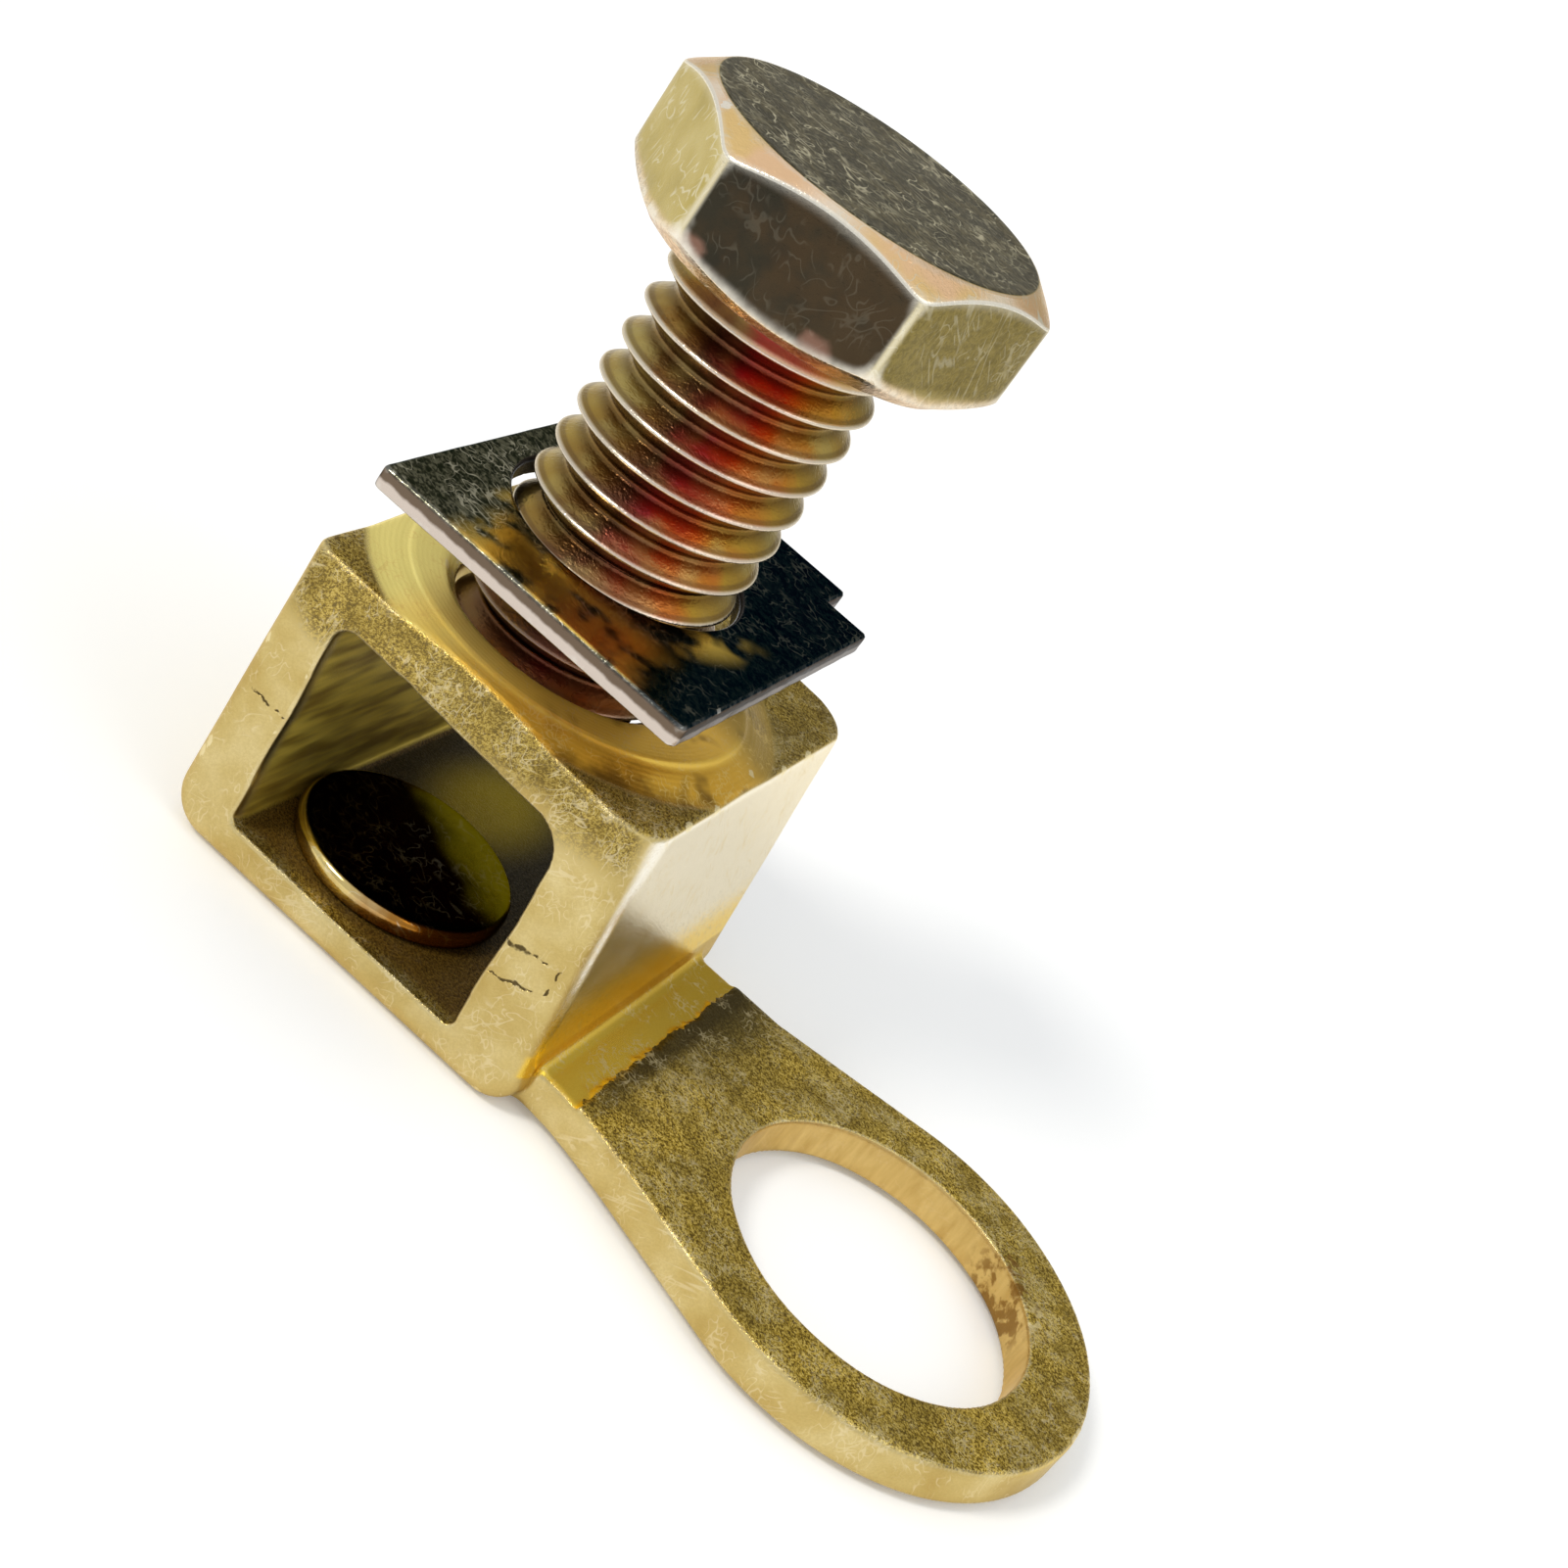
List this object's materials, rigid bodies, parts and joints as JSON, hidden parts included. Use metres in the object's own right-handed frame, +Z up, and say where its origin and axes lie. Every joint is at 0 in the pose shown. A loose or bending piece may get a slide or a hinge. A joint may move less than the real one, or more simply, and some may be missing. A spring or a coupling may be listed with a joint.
{
  "type": "battery terminal clamp",
  "caption": "Cast brass battery terminal clamp: a cage takes the bared cable under a hex bolt, and a flat tab ends in a ring for the terminal stud.",
  "frame": {"origin": "on the bolt's axis, level with the flat underside of the cable cage", "axes": "+Z up the bolt's axis towards its head, +X along the tab towards the ring, +Y the way the cable goes in through the cage"},
  "size_m": [0.0434, 0.0222, 0.0355],
  "materials": {
    "lug_brass": "tumbled cast brass with milled and turned faces",
    "bolt_plating": "steel with yellow zinc plating, worn at the edges",
    "washer_plating": "stamped steel with dull yellow zinc plating, scratched",
    "disc_steel": "smooth plated steel"
  },
  "bodies": {
    "lug": {"lug": "lug_brass", "pressure_disc": "disc_steel"},
    "washer": {"washer": "washer_plating"},
    "bolt": {"bolt": "bolt_plating"}
  },
  "joints": [
    {"name": "washer_slide", "type": "slide", "parent": "lug", "child": "washer", "axis": [0, 0, 1], "range_m": [-0.0035, 0.0019]},
    {"name": "bolt_turn", "type": "hinge", "parent": "washer", "child": "bolt", "pos_m": [0, 0, 0.0302], "axis": [0, 0, 1], "range_deg": [-720, 360]}
  ],
  "couplings": [
    {"joint": "washer_slide", "follows": "bolt_turn", "m_per_rad": 0.00025266}
  ]
}
